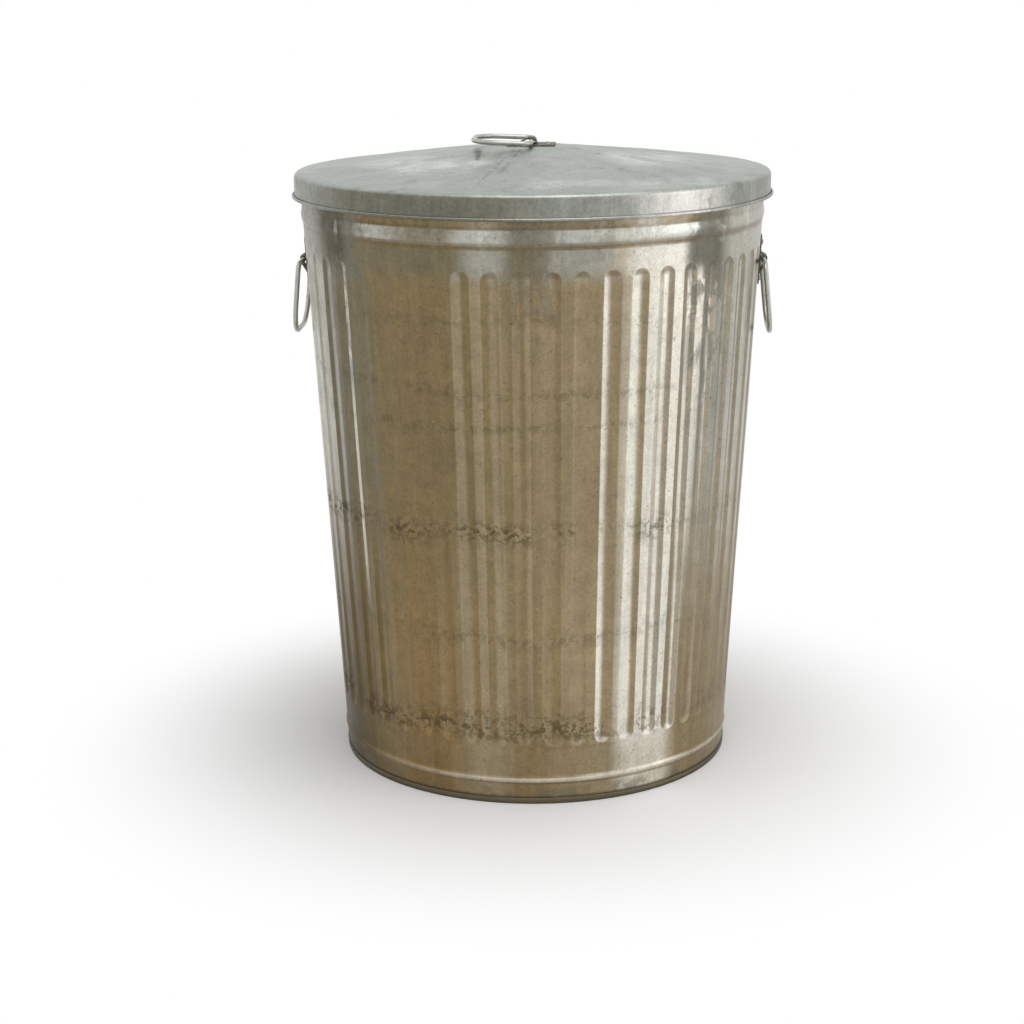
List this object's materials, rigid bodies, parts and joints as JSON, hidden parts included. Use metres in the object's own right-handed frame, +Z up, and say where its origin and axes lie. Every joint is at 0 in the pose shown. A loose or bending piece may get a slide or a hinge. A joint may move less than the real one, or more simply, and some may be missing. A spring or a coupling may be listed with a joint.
{
  "type": "galvanized trash can with lid",
  "caption": "Round tapered sheet-steel trash can with upright flutes, rolled rim, drop handles on its sides and a low conical lift-off lid with a drop handle of its own.",
  "frame": {"origin": "on the floor, on the can's own upright axis", "axes": "+Z up, the front faces -Y, +X to the right-hand handle, the wall's lock seam is at the back on +Y"},
  "size_m": [0.5422, 0.5408, 0.7107],
  "materials": {
    "galvanized_wall": "weathered hot-dip galvanized sheet, tan-grey",
    "galvanized_lid": "weathered hot-dip galvanized sheet, light grey",
    "galvanized_pan": "hot-dip galvanized sheet, dull grey",
    "steel_wire": "plain drawn wire",
    "zinc_stamping": "zinc-dipped pressed steel, dull",
    "handle_wire": "zinc-dipped wire, satin",
    "rivet_steel": "zinc-dipped rivet, satin"
  },
  "bodies": {
    "can": {"side_wall": "galvanized_wall", "rim_wire": "steel_wire", "bottom_pan": "galvanized_pan", "right_ear": "zinc_stamping", "left_ear": "zinc_stamping", "right_ear_upper_rivet": "rivet_steel", "right_ear_lower_rivet": "rivet_steel", "left_ear_upper_rivet": "rivet_steel", "left_ear_lower_rivet": "rivet_steel"},
    "lid": {"lid_shell": "galvanized_lid", "lid_ear": "zinc_stamping", "lid_right_rivet": "rivet_steel", "lid_left_rivet": "rivet_steel"},
    "right_bail": {"right_bail": "handle_wire"},
    "left_bail": {"left_bail": "handle_wire"},
    "lid_bail": {"lid_bail": "handle_wire"}
  },
  "joints": [
    {"name": "lid_lift", "type": "slide", "parent": "can", "child": "lid", "axis": [0, 0, 1], "range_m": [0, 0.3]},
    {"name": "right_bail_swing", "type": "hinge", "parent": "can", "child": "right_bail", "pos_m": [0.2606, 0, 0.57374], "axis": [0, -1, 0], "range_deg": [-9, 162]},
    {"name": "left_bail_swing", "type": "hinge", "parent": "can", "child": "left_bail", "pos_m": [-0.2606, 0, 0.57374], "axis": [0, 1, 0], "range_deg": [-9, 162]},
    {"name": "lid_bail_swing", "type": "hinge", "parent": "lid", "child": "lid_bail", "pos_m": [0, 0, 0.70545], "axis": [0, 1, 0], "range_deg": [-6.5, 182]}
  ]
}
